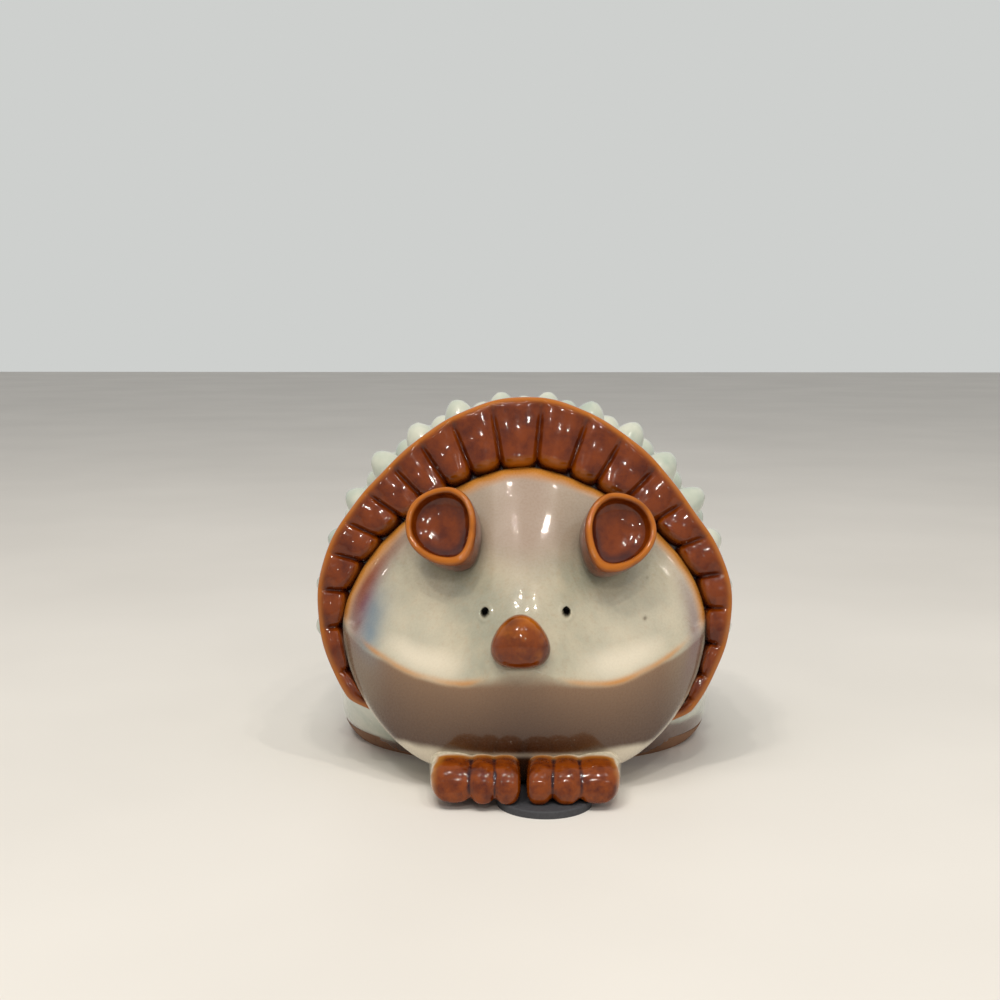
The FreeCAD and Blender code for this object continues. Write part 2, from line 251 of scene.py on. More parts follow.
def startMaterial(name):
    material = bpy.data.materials.new(name)
    material.use_nodes = True
    tree = material.node_tree
    tree.nodes.clear()
    output = tree.nodes.new("ShaderNodeOutputMaterial")
    shader = tree.nodes.new("ShaderNodeBsdfPrincipled")
    tree.links.new(shader.outputs["BSDF"], output.inputs["Surface"])
    return material, tree, shader


def colourOf(rgb):
    # written as seen on screen, 0 to 255
    out = []
    for c in rgb:
        c = c / 255
        out.append(c / 12.92 if c <= 0.04045 else ((c + 0.055) / 1.055) ** 2.4)
    return (out[0], out[1], out[2], 1.0)


def maskNode(tree, key):
    node = tree.nodes.new("ShaderNodeAttribute")
    node.attribute_name = key
    return node.outputs["Fac"]


def noiseNode(tree, scale, detail=3.0, rough=0.5):
    where = tree.nodes.new("ShaderNodeTexCoord")
    grain = tree.nodes.new("ShaderNodeTexNoise")
    grain.inputs["Scale"].default_value = scale
    grain.inputs["Detail"].default_value = detail
    grain.inputs["Roughness"].default_value = rough
    tree.links.new(where.outputs["Object"], grain.inputs["Vector"])
    return grain.outputs["Fac"]


def rampNode(tree, source, stops):
    ramp = tree.nodes.new("ShaderNodeValToRGB")
    elements = ramp.color_ramp.elements
    while len(elements) > 1:
        elements.remove(elements[0])
    for index, (place, rgb) in enumerate(stops):
        element = elements.new(place) if index else elements[0]
        element.position = place
        element.color = colourOf(rgb)
    tree.links.new(source, ramp.inputs["Fac"])
    return ramp.outputs["Color"]


def rangeNode(tree, source, fromLow, fromHigh, toLow=0.0, toHigh=1.0):
    node = tree.nodes.new("ShaderNodeMapRange")
    for key, value in zip(("From Min", "From Max", "To Min", "To Max"), (fromLow, fromHigh, toLow, toHigh)):
        node.inputs[key].default_value = value
    tree.links.new(source, node.inputs["Value"])
    return node.outputs["Result"]


def sumNode(tree, operation, first, second):
    node = tree.nodes.new("ShaderNodeMath")
    node.operation = operation
    for socket, value in zip(node.inputs, (first, second)):
        if isinstance(value, (int, float)):
            socket.default_value = value
        else:
            tree.links.new(value, socket)
    return node.outputs["Value"]


def blendNode(tree, amount, below, above):
    # above may be a colour as seen on screen, below is always a socket
    node = tree.nodes.new("ShaderNodeMix")
    node.data_type = "RGBA"
    tree.links.new(amount, node.inputs[0])
    tree.links.new(below, node.inputs[6])
    if isinstance(above, tuple):
        node.inputs[7].default_value = colourOf(above)
    else:
        tree.links.new(above, node.inputs[7])
    return node.outputs[2]


def bumpOver(tree, shader, colour, height, grain, look):
    tree.links.new(colour, shader.inputs["Base Color"])
    node = tree.nodes.new("ShaderNodeBump")
    node.inputs["Strength"].default_value = look["bump"]
    node.inputs["Distance"].default_value = look["bumpDepth"]
    tree.links.new(height, node.inputs["Height"])
    tree.links.new(node.outputs["Normal"], shader.inputs["Normal"])
    rough = rangeNode(tree, grain, 0.3, 0.7, look["smooth"], look["rough"])
    tree.links.new(rough, shader.inputs["Roughness"])
    return node.outputs["Normal"]


def glossOver(tree, shader, colour, look):
    # the wet look of glaze: a smooth coat over a softer body, with a slow ripple
    ripple = noiseNode(tree, look["ripple"], 2.0)
    grain = noiseNode(tree, look["grit"], 4.0, 0.6)
    height = sumNode(tree, "ADD", ripple, sumNode(tree, "MULTIPLY", grain, look["gritShare"]))
    normal = bumpOver(tree, shader, colour, height, grain, look)
    tree.links.new(normal, shader.inputs["Coat Normal"])
    shader.inputs["Coat Weight"].default_value = look["coat"]
    shader.inputs["Coat Roughness"].default_value = look["coatRough"]
    shader.inputs["Coat IOR"].default_value = look["coatBend"]
    shader.inputs["Specular IOR Level"].default_value = look["specular"]


def mottled(tree, look):
    grain = noiseNode(tree, *look["mottle"])
    low, high = look["span"]
    return grain, rampNode(tree, grain, [(low, look["dark"]), (high, look["light"])])


def coverWith(tree, colour, look, keys):
    # each mask lays its own colour over what is there
    for key in keys:
        amount = maskNode(tree, key)
        if key in look["bands"]:
            amount = rangeNode(tree, amount, *look["bands"][key])
        colour = blendNode(tree, amount, colour, look[key])
    return colour


# in each dictionary of glaze a mask's name holds the colour that it lays on

brownLook = {
    "dark": (80, 26, 0), "light": (112, 46, 0), "mottle": (190.0, 4.0, 0.6), "span": (0.34, 0.6),
    # the darkest brown lays glaze pooled in hollows, and painted shade in the ruff's crevice and grooves
    "ridge": (168, 92, 4), "rim": (164, 92, 10), "hollow": (44, 14, 10), "poolAndShade": (38, 10, 16),
    "bands": {"ridge": (0.14, 0.52), "hollow": (0.02, 0.3)}, "mottleShare": 0.12,
    "ripple": 210.0, "grit": 900.0, "gritShare": 0.12, "bump": 0.25, "bumpDepth": 0.0005,
    "smooth": 0.12, "rough": 0.26, "coat": 0.6, "coatRough": 0.015, "coatBend": 1.5, "specular": 0.1,
}


def makeBrownGlaze(name, look):
    material, tree, shader = startMaterial(name)
    grain, colour = mottled(tree, look)
    worn = sumNode(tree, "ADD", maskNode(tree, "ridge"), sumNode(tree, "MULTIPLY", grain, look["mottleShare"]))
    colour = blendNode(tree, rangeNode(tree, worn, *look["bands"]["ridge"]), colour, look["ridge"])
    colour = coverWith(tree, colour, look, ("rim", "hollow", "poolAndShade"))
    glossOver(tree, shader, colour, look)
    return material


paleLook = {
    "dark": (152, 150, 132), "light": (180, 171, 148), "mottle": (58.0, 4.0, 0.6), "span": (0.34, 0.62),
    "warm": (158, 134, 106), "grain": (620.0, 4.0, 0.65), "grainBand": (0.5, 0.78, 0.0, 0.45),
    # the cream paints light on the cheeks above the jaw; the taupe and umber paint shade and a reflection of a
    # brown table under the jaw
    "brow": (150, 130, 114), "paintedCheekLight": (216, 205, 184), "tableReflectionTaupe": (128, 98, 72), "shadeUmber": (58, 32, 14),
    "shadeUmberAt": 0.95, "blue": (92, 112, 128), "violet": (96, 54, 84), "rust": (122, 56, 24),
    # the milky colour lays pale glaze, and a painted highlight along the face's lower edge; the near-black lays
    # painted shade in the eye holes
    "amber": (184, 118, 34), "milkAndSheen": (216, 205, 184), "speck": (92, 78, 60), "poolAndShade": (18, 12, 10), "bands": {},
    "ripple": 95.0, "grit": 1300.0, "gritShare": 0.08, "bump": 0.32, "bumpDepth": 0.0006,
    "smooth": 0.2, "rough": 0.36, "coat": 0.7, "coatRough": 0.02, "coatBend": 1.5, "specular": 0.3,
}


def makeFaceGlaze(name, look):
    material, tree, shader = startMaterial(name)
    colour = mottled(tree, look)[1]
    grain = rangeNode(tree, noiseNode(tree, *look["grain"]), *look["grainBand"])
    colour = blendNode(tree, grain, colour, look["warm"])
    # the second colour here is painted light on the cheeks just above the jaw
    colour = coverWith(tree, colour, look, ("brow", "paintedCheekLight"))
    # painted shade and painted table reflection: the underside runs from taupe to umber downwards
    shadedUnderside = rampNode(tree, maskNode(tree, "shadeDeepening"), [(0.0, look["tableReflectionTaupe"]), (look["shadeUmberAt"], look["shadeUmber"])])
    colour = blendNode(tree, maskNode(tree, "shadedUnderside"), colour, shadedUnderside)
    # the milky colour is partly a painted highlight, the near-black partly painted shade
    colour = coverWith(tree, colour, look, ("blue", "violet", "rust", "amber", "milkAndSheen", "speck", "poolAndShade"))
    glossOver(tree, shader, colour, look)
    return material


coatLook = {
    "dark": (168, 178, 164), "light": (196, 198, 182), "mottle": (90.0, 3.0, 0.55), "span": (0.36, 0.6),
    "grain": (700.0, 4.0, 0.65), "grainBand": (0.2, 0.8, 0.6, 1.3),
    "ridge": (206, 190, 160), "hollow": (142, 158, 150), "foot": (88, 48, 26),
    "bands": {"ridge": (0.3, 1.0, 0.0, 0.8), "hollow": (0.05, 0.6, 0.0, 0.85)},
    "ripple": 160.0, "grit": 1100.0, "gritShare": 0.25, "bump": 0.22, "bumpDepth": 0.0004,
    "smooth": 0.14, "rough": 0.28, "coat": 0.8, "coatRough": 0.04, "coatBend": 1.5, "specular": 0.45,
}


def makeCoatGlaze(name, look):
    material, tree, shader = startMaterial(name)
    colour = mottled(tree, look)[1]
    grain = rangeNode(tree, noiseNode(tree, *look["grain"]), *look["grainBand"])
    worn = sumNode(tree, "MULTIPLY", maskNode(tree, "ridge"), grain)
    colour = blendNode(tree, rangeNode(tree, worn, *look["bands"]["ridge"]), colour, look["ridge"])
    colour = coverWith(tree, colour, look, ("hollow", "foot"))
    glossOver(tree, shader, colour, look)
    return material


pawLook = {
    "dark": brownLook["dark"], "light": (122, 54, 0), "mottle": (320.0, 4.0, 0.6), "span": (0.3, 0.6),
    "ridge": brownLook["ridge"], "hollow": brownLook["poolAndShade"], "halo": paleLook["amber"],
    "bands": {"ridge": (0.25, 0.9, 0.0, 0.75), "hollow": (0.03, 0.22)},
}
pawMilk = {
    "dark": paleLook["light"], "light": paleLook["milkAndSheen"],
    "mottle": (500.0, 4.0, 0.65), "span": (0.35, 0.65),
}


def makePawGlaze(name, look, milkAndSheen, gloss):
    material, tree, shader = startMaterial(name)
    colour = coverWith(tree, mottled(tree, look)[1], look, ("ridge", "hollow", "halo"))
    colour = blendNode(tree, maskNode(tree, "milkAndSheen"), colour, mottled(tree, milkAndSheen)[1])
    glossOver(tree, shader, colour, gloss)
    return material


clayLook = {
    "dark": (112, 76, 52), "light": (140, 100, 70), "mottle": (60.0, 3.0, 0.5), "span": (0.3, 0.7),
    "grog": (900.0, 6.0, 0.7), "fleck": (74, 48, 34), "fleckBand": (0.58, 0.7, 0.0, 0.6),
    "bump": 0.5, "bumpDepth": 0.0003, "smooth": 0.62, "rough": 0.85,
}
rubberLook = {
    "dark": (46, 46, 50), "light": (66, 66, 70), "mottle": (1400.0, 5.0, 0.7), "span": (0.3, 0.7),
    "grog": (1400.0, 5.0, 0.7), "bump": 0.4, "bumpDepth": 0.0002, "smooth": 0.6, "rough": 0.8,
}


def makeMatte(name, look):
    material, tree, shader = startMaterial(name)
    grog = noiseNode(tree, *look["grog"])
    colour = mottled(tree, look)[1]
    if "fleck" in look:
        colour = blendNode(tree, rangeNode(tree, grog, *look["fleckBand"]), colour, look["fleck"])
    bumpOver(tree, shader, colour, grog, grog, look)
    return material


brownGlaze = makeBrownGlaze("brownGlaze", brownLook)
faceGlaze = makeFaceGlaze("faceGlaze", paleLook)
coatGlaze = makeCoatGlaze("coatGlaze", coatLook)
pawGlaze = makePawGlaze("pawGlaze", pawLook, pawMilk, brownLook)
bareClay = makeMatte("bareClay", clayLook)
padRubber = makeMatte("padRubber", rubberLook)
print("glazes mixed")


# ruff: a flat clay band pressed into flutes all the way round the face

ruff = {
    "lobesAt": (209, 193, 182, 171, 161, 151, 140, 129, 118, 106, 93, 77, 65, 53, 38, 26, 14, 3, -6, -18, -26, -34),
    "endAt": (217.0, -41.0), "endFade": 0.16, "endDraw": 3.0, "endThin": 0.6, "radius": 57.0, "swell": 1.7,
    "shoulders": ((-1.3, 30, 0.28), (-0.4, 128, 0.3)), "ripple": ((0.14, 9, 0.7), (0.07, 23, 0.0)),
    "rim": 2.6, "bevel": 0.4, "rolled": 2.0, "edgeThick": 3.2, "bandThick": 4.0, "crown": 2.5, "innerRise": 2.3,
    "fullness": 2.0, "grooveFloor": 0.75, "grooveSteep": 4.2, "tuck": 1.2, "tipRound": 2.6, "tipPlay": 0.5,
    "tipClear": 0.6, "noseRun": 3.0, "crevice": 2.2, "creviceRun": 1.2, "dish": 0.55, "dishAt": (0.62, 0.3),
    # over the edge and back: share of the height there, swelling out, drawing in
    "edgeSteps": ((0.55, 0.15, 0.06), (0.12, 0.0, 0.35), (0.0, 0.0, 1.2)),
    "across": 1500, "along": 64,
}

# how far out the face's edge lies on the ruff's plane, by angle
faceEdgeTable = {
    "angle": (-90, -70, -55, -42, -34, -26, -18, -6, 3, 14, 26, 38, 53, 65, 77, 90, 103, 118, 129, 140, 151, 161,
              171, 182, 193, 203, 214, 222, 235, 250),
    "radius": (45.0, 46.5, 49.0, 51.0, 51.8, 52.4, 52.4, 51.8, 50.2, 47.2, 43.6, 41.0, 38.9, 38.2, 38.6, 39.2, 38.6,
               38.2, 39.0, 40.4, 42.6, 45.2, 48.0, 51.2, 52.4, 52.4, 51.8, 51.0, 49.0, 46.5),
}
faceEdge = roundTable(faceEdgeTable["angle"], faceEdgeTable["radius"])


def ruffRadius(angle):
    base = ruff["radius"] + ruff["swell"] * np.cos(4 * angle)
    shoulder = sum(size * bump(angle, math.radians(at), width) for size, at, width in ruff["shoulders"])
    ripple = sum(size * np.sin(waves * angle + start) for size, waves, start in ruff["ripple"])
    return base + shoulder + ripple


def buildRuff():
    first, last = math.radians(ruff["endAt"][1]), math.radians(ruff["endAt"][0])
    angle = np.linspace(first, last, ruff["across"])
    centres = np.sort(np.radians(np.array(ruff["lobesAt"], float)))
    walls = np.concatenate([[first - 0.02], (centres[1:] + centres[:-1]) / 2, [last + 0.02]])
    index = np.clip(np.searchsorted(walls, angle) - 1, 0, len(centres) - 1)
    left, right = walls[index], walls[index + 1]
    # u is 0 at the middle of a flute and 1 at its grooves, v is 0 at its inner tip and 1 at the rim
    u = np.abs(np.clip((angle - left) / (right - left) * 2 - 1, -1, 1))
    play = rng.uniform(-1, 1, (len(centres), 4))[index].T
    # both ends of the band thin away to a point
    fade = ruff["endFade"]
    ends = ease(0, fade, angle - first) * ease(0, fade, last - angle)
    outer = ruffRadius(angle) - ruff["endDraw"] * (1 - ends)
    inner = faceEdge(angle) - ruff["tuck"]
    roundTip = 1 - np.sqrt(unit(1 - (u * 0.96) ** 2.4))
    tipLine = faceEdge(angle) + 0.1 + ruff["tipPlay"] * play[0] + ruff["tipRound"] * roundTip
    tipLine = np.minimum(tipLine, outer - ruff["rim"] - ruff["tipClear"])
    t = np.linspace(0, 1, ruff["along"])[:, None] ** 0.9
    radius = inner + (outer - inner) * t
    v = (radius - tipLine) / np.maximum(outer - ruff["rim"] - tipLine, 0.8)
    # crown across each flute, groove between flutes, flute end rounded over into the crevice
    flute = 1 - u ** ruff["fullness"]
    side = ease(0, 1, (1 - u) * ruff["grooveSteep"])
    rise = (ruff["crown"] + ruff["innerRise"] * (1 - unit(v)) ** 1.4) * (1 + 0.08 * play[1])
    into = unit((radius - tipLine) / ruff["noseRun"])
    nosing = np.sqrt(unit(1 - (1 - into) ** 2))
    height = ruff["bandThick"] - 1.0 + rise * (0.42 + 0.58 * flute) * nosing
    shallow = 1 - 0.8 * ease(0.6, 1.15, v)
    height = height - ruff["grooveFloor"] * (1 - side) * (0.35 + 0.65 * nosing) * shallow
    crevice = ease(0.0, 1.0, (tipLine + 0.3 - radius) / ruff["creviceRun"])
    height = height - ruff["crevice"] * crevice
    # shallow thumb dish in each flute, deeper towards the rim
    height -= ruff["dish"] * bump(v, *ruff["dishAt"]) * (1 - u ** 2) * (1 + 0.4 * play[2])
    # the rim: a rolled bevel that runs unbroken past the flute ends
    toEdge = outer - radius
    bevel = ruff["rim"] + ruff["bevel"]
    rim = 1 - ease(0.0, bevel, toEdge)
    rolled = ruff["edgeThick"] + ruff["rolled"] * np.sqrt(unit(toEdge / bevel))
    height = height * (1 - rim) + rolled * rim
    height = ruff["endThin"] + (height - ruff["endThin"]) * (0.45 + 0.55 * ends)
    # go over the edge and back along the hidden side
    layers = [ruffToWorld(angle, radius, height)]
    for share, swell, draw in ruff["edgeSteps"]:
        layers.append(ruffToWorld(angle, outer + swell - draw, height[-1] * share)[None])
    hidden = np.maximum(inner - 1.0, 20)
    for low in (np.zeros_like(angle), height[0] * 0.6):
        layers.append(ruffToWorld(angle, hidden, low)[None])
    shell = np.concatenate(layers)
    rows, columns = shell.shape[:2]
    faces = gridFaces(rows, columns, wrap=False)
    top = (rows - 1) * columns
    faces += [(top + c, top + c + 1, c + 1, c) for c in range(columns - 1)]
    faces += [[r * columns + c for r in range(rows)] for c in (0, columns - 1)]
    unseen = np.zeros((len(layers) - 1, columns))
    rimMask = np.concatenate([0.9 * bump(toEdge, 0.5, 1.0), unseen + 0.5])
    # painted shade: the grooves darken towards the flute tips, and the crevice beside the face is painted dark as
    # its shadow
    shade = (1 - side) * nosing * (1 - ease(0.5, 1.1, v)) * (0.24 + 0.18 * play[3])
    paintedShadeMask = np.concatenate([0.82 * crevice + unit(shade), unseen])
    piece = makeMesh("flutedRuff", shell.reshape(-1, 3), faces, {
        "rim": rimMask.ravel(), "poolAndShade": unit(paintedShadeMask).ravel()})
    markRelief(piece, (3, 22), (0.5, 0.55))
    dress(piece, brownGlaze, "brown_glaze", "ruff_band", "ruff_lobes")


buildRuff()
print("ruff pressed")


# face: a blunt cone with two full cheeks over a crisp jaw

face = {
    "noseX": -0.8, "noseZ": 44.0, "across": 620, "rings": 130, "edgeDepth": 5.2, "edgeRoll": 2.4, "edgeRun": 2.6,
    "halfWidth": 51.5, "reachTop": 33.0, "lowestReach": 14.5, "top": 85.5, "topFall": 52, "bottom": 2.0,
    "bottomRise": 30, "jawLow": 31.2, "jawMiddle": 36.0, "jawLift": 11.0, "jawLevel": 20, "jawClimb": 11.5,
    "browFall": 2.2, "cheek": 1.9, "forehead": 1.7, "heel": 9.0, "wobble": 0.35,
}
eye = {"places": ((-10.5, 49.2), (11.4, 49.3)), "slant": 24, "long": 1.35, "depth": 3.4, "lip": 0.32}

# where the colour changes, in the glaze and in painted light and shade: height, or distance from the face's edge,
# then the width of the band
paint = {
    "blueAt": (43.5, 8.5), "blueIn": (7.6, 4.4), "violetAt": (48.5, 9.0), "violetIn": (4.6, 2.4),
    "rustAt": (54.0, 12.0), "rustIn": (3.2, 2.2), "hazeAt": (44, 16), "hazeIn": (3.4, 2.6),
    "amberOverJaw": (0.2, 0.75), "cheekLightOverJaw": (4.4, 4.2), "cheekLightWideOverJaw": (10, 9), "underRun": 24.0,
    # x, z, width and strength of each brown speck
    "specks": ((33.3, 45.6, 0.5, 1.0), (34.4, 55.5, 0.28, 0.6)),
}


def outlineInFace(angle):
    # the face's edge, as a distance from the nose, in the upright x and z of the face
    sweep = np.radians(np.linspace(-180, 180, 1441))
    radius = faceEdge(sweep)
    x = radius * np.cos(sweep) - face["noseX"]
    z = ruffPlane["z"] + radius * np.sin(sweep) * math.cos(ruffPlane["tilt"]) - face["noseZ"]
    around = np.arctan2(z, x)
    order = np.argsort(around)
    spots = np.concatenate([around[order] - 2 * math.pi, around[order], around[order] + 2 * math.pi])
    sizes = np.tile(np.hypot(x, z)[order], 3)
    return np.interp(angle, spots, sizes)


def jawHeight(x):
    # under the nose the jaw lifts, sags at each cheek and climbs to the side of the head
    a = np.abs(x)
    lift = (face["jawMiddle"] - face["jawLow"]) * np.exp(-(a / face["jawLift"]) ** 2)
    climb = face["jawClimb"] * np.clip((a - face["jawLevel"]) / 31.0, 0, None) ** 2.0
    return face["jawLow"] + lift + climb


def sideShare(x):
    return unit(np.abs(x) / face["halfWidth"])


def jawReach(x):
    return face["edgeDepth"] + (face["reachTop"] - face["edgeDepth"]) * (1 - sideShare(x) ** 1.75)


def faceDepth(x, z):
    zr = jawHeight(x)
    reach = jawReach(x)
    a = sideShare(x)
    top = face["top"] - face["topFall"] * a ** 2.2
    bottom = face["bottom"] + face["bottomRise"] * unit((a - 0.55) / 0.45) ** 1.6
    up = unit((z - zr) / np.maximum(top - zr, 1.0))
    power = 1.06 + 0.62 * ease(8, 26, np.abs(x))
    above = face["edgeDepth"] + (reach - face["edgeDepth"]) * (1 - up) ** power
    # brow, the round of the cheeks, forehead
    above += face["browFall"] * bump(x, 0.0, 13.0) * bump(up, 0.3, 0.2)
    above += face["cheek"] * bump(np.abs(x), 31.0, 11.0) * bump(z, 50.0, 9.0)
    above += face["forehead"] * np.sin(math.pi * up) * bump(x, 0.0, 20.0)
    down = unit((zr - z) / np.maximum(zr - bottom, 1.0))
    lowest = face["lowestReach"] * (1 - a ** 2) + 3.0
    below = reach - (reach - np.minimum(lowest, reach)) * down ** 1.35
    return np.where(z >= zr, above, below)


def faceGrid():
    angle = np.linspace(0, 2 * math.pi, face["across"], endpoint=False)
    edge = outlineInFace(np.where(angle > math.pi, angle - 2 * math.pi, angle))
    s = 1 - (1 - np.linspace(0.004, 1, face["rings"])) ** 1.15
    x = face["noseX"] + s[:, None] * edge * np.cos(angle)
    z = face["noseZ"] + s[:, None] * edge * np.sin(angle)
    depth = faceDepth(x, z)
    # the edge rolls over into the crevice beside the ruff
    inward = 1 - unit((1 - s)[:, None] * edge / face["edgeRun"])
    depth -= face["edgeRoll"] * (1 - np.sqrt(unit(1 - inward ** 2)))
    grid = np.stack([x, planeY(z) - depth, z], axis=-1)
    layers = [grid]
    for share in (0.8, 0.5, 0.1):
        ring = grid[-1].copy()
        ring[:, 1] = planeY(ring[:, 2]) - depth[-1] * share
        layers.append(ring[None])
    # below the shoulders the heel of the face runs back to the body
    heel = grid[-1].copy()
    low = ease(17, 8, heel[:, 2])
    heel[:, 0] *= 1 - 0.04 * low
    heel[:, 1] = planeY(heel[:, 2]) + 0.4 + face["heel"] * low
    layers.append(heel[None])
    return np.concatenate(layers)


def pokeEyes(points):
    # slanted ovals with a slightly raised lip
    mask = np.zeros(len(points))
    for ex, ez in eye["places"]:
        slant = math.radians(eye["slant"] if ex < 0 else -eye["slant"])
        dx, dz = points[:, 0] - ex, points[:, 2] - ez
        across = dx * math.cos(slant) - dz * math.sin(slant)
        along = dx * math.sin(slant) + dz * math.cos(slant)
        r = np.sqrt(across ** 2 + (along / eye["long"]) ** 2)
        front = points[:, 1] < planeY(points[:, 2]) - 8
        poke = eye["depth"] * (1 - ease(0.62, 1.06, r)) - eye["lip"] * bump(r, 1.5, 0.45)
        points[:, 1] += np.where(front, poke, 0)
        # the mask paints the inside of each eye hole near black: painted shade, over dark glaze pooled there
        mask = np.maximum(mask, np.where(front, 1 - ease(0.75, 1.12, r), 0))
    return mask


def buildFace():
    shell = faceGrid()
    rows, count = shell.shape[:2]
    faces = gridFaces(rows, count)
    faces.append(list(range(count))[::-1])
    faces.append([(rows - 1) * count + c for c in range(count)])
    piece = makeMesh("faceShell", shell.reshape(-1, 3), faces)
    mesh = piece.data
    points = figurePoints(mesh)
    # clay softness: even out the grid, keep the jaw fairly crisp
    soft = spread(points, meshEdges(mesh), len(points), 5)
    keep = np.zeros(len(points))
    keep[: (face["rings"] - 2) * count] = 1
    points = points + (soft - points) * keep[:, None]
    points[:, 1] += cloud(points, 26.0, 2, 3.1) * face["wobble"] * keep
    eyeMask = pokeEyes(points)
    mesh.vertices.foreach_set("co", placed(points).ravel())
    mesh.update()
    paintFace(mesh, points, eyeMask)
    dress(piece, faceGlaze, "pale_glaze", "face_shell")


def paintFace(mesh, points, eyeMask):
    x, z = points[:, 0], points[:, 2]
    side = np.abs(x)
    ring = np.arange(len(points)) // face["across"]
    angle = np.arctan2(z - face["noseZ"], x - face["noseX"])
    toEdge = outlineInFace(angle) - np.hypot(x - face["noseX"], z - face["noseZ"])
    toEdge = np.where(ring >= face["rings"], -1.0, toEdge)
    wander = cloud(points, 9.0, 3, 8.0)
    fine = cloud(points, 3.0, 3, 2.0)
    # painted shade and a painted reflection of a brown table: the taupe underside begins at the jaw and darkens
    # downwards
    overJaw = z - jawHeight(x) + 0.35 * wander
    farOut = ease(36, 48, side)
    middle = bump(x, 0.0, 9.0)
    level = overJaw + 3.5 * farOut * ease(-8, 4, overJaw)
    shadedUnderside = (1 - ease(-1.2 - 3.6 * middle, 0.3 + 1.6 * middle, level)) * (1 - 0.25 * farOut)
    shadeDeepening = unit(-overJaw / paint["underRun"]) ** 0.8
    # amber along the jaw and beside the ruff
    jawLine = bump(overJaw, *paint["amberOverJaw"]) * ease(8, 15, side) * (1 - ease(40, 47, side))
    jawLine = jawLine * (0.62 + 0.3 * wander)
    upperEdge = (1 - ease(0.4, 3.4 + 0.8 * wander, toEdge)) * ease(-2, 3, overJaw)
    # a painted highlight along the face's lower edge, and milky glaze over the paws
    lowerEdgeSheen = (1 - ease(0.2, 1.6, toEdge)) * (1 - ease(-6, -1, overJaw)) * ease(9, 15, z)
    fillet = (1 - ease(11.6, 14.0, z + 0.8 * wander)) * ease(17, 25, side) * (side < 40)
    fillet = np.maximum(fillet, 0.55 * bump(z, 11.9 + 0.4 * wander, 0.7) * (side < 30))
    # the coloured patch at the cheek on the left of the picture, and a faint haze on the right
    cheek = ease(-24, -37, x)
    blue = cheek * bump(z, *paint["blueAt"]) * bump(toEdge, *paint["blueIn"]) * (0.7 + 0.35 * wander)
    violet = cheek * bump(z, *paint["violetAt"]) * bump(toEdge, *paint["violetIn"]) * (0.8 + 0.2 * fine)
    rust = cheek * bump(z, *paint["rustAt"]) * bump(toEdge, *paint["rustIn"]) * 0.95
    haze = ease(36, 47, x) * bump(toEdge, *paint["hazeIn"]) * bump(z, *paint["hazeAt"]) * 0.5
    brow = ease(57, 68, z) * 0.75 + 0.3 * bump(side, 0, 9) * ease(46, 60, z)
    # painted light: a lighter band where the cheeks face up just above the jaw
    paintedCheekLight = bump(overJaw, *paint["cheekLightOverJaw"]) * ease(10, 24, side) * (1 - ease(30, 46, side))
    paintedCheekLight *= 0.8
    paintedCheekLight = np.maximum(paintedCheekLight, 0.3 * bump(overJaw, *paint["cheekLightWideOverJaw"]) * ease(12, 26, side))
    spots = [strong * bump(np.hypot(x - sx, z - sz), 0, width) for sx, sz, width, strong in paint["specks"]]
    masks = {
        "shadedUnderside": shadedUnderside, "shadeDeepening": shadeDeepening, "amber": np.maximum(jawLine, 0.92 * upperEdge), "blue": blue,
        "violet": np.maximum(violet, haze), "rust": rust, "brow": brow, "paintedCheekLight": paintedCheekLight,
        "milkAndSheen": np.maximum(0.9 * lowerEdgeSheen, 0.85 * fillet), "speck": np.maximum(*spots), "poolAndShade": eyeMask,
    }
    for key, values in masks.items():
        setMask(mesh, key, unit(values))


buildFace()
print("face modelled")


# ears: two cupped drops pressed on where face and ruff meet

ear = {
    "width": 20.4, "length": 24.6, "taper": 0.27, "around": 180, "cupRows": 16, "rimRows": 14, "outerRows": 8,
    "cup": 3.9, "cupShare": 0.78, "rimMiddle": 0.90, "rimHalf": 0.10, "rimRound": 2.4, "root": 7.0,
    "left": {"x": -23.0, "z": 72.2, "lean": -27.0, "turn": -16.0},
    "right": {"x": 26.5, "z": 70.8, "lean": 25.0, "turn": 16.0},
    "back": 30.0, "reach": 19.0,
}


def dropOutline(turn):
    # round above, drawn in to a blunt point below
    half = ear["width"] / 2
    x = np.sin(turn)
    z = np.cos(turn)
    taper = np.where(z < 0, 1 - ear["taper"] * np.abs(z) ** 2.0, 1.0)
    return x * half * taper, np.where(z > 0, z * half, z * (ear["length"] - half))


def earSteps():
    # from the middle of the cup, over the rim, down the outside and into the head
    steps = []
    for share in np.linspace(0.02, ear["cupShare"], ear["cupRows"]):
        steps.append((share, -ear["cup"] + ear["cup"] * (share / 0.86) ** 3.0 * 0.80))
    for k in np.linspace(0, 1, ear["rimRows"]):
        swing = math.pi * (1 - k)
        share = ear["rimMiddle"] + ear["rimHalf"] * math.cos(swing)
        steps.append((share, ear["rimRound"] * 0.5 * math.sin(swing)))
    for k in np.linspace(0.1, 1, ear["outerRows"]):
        steps.append((1.0 - 0.06 * k ** 2, -k * ear["root"]))
    return steps


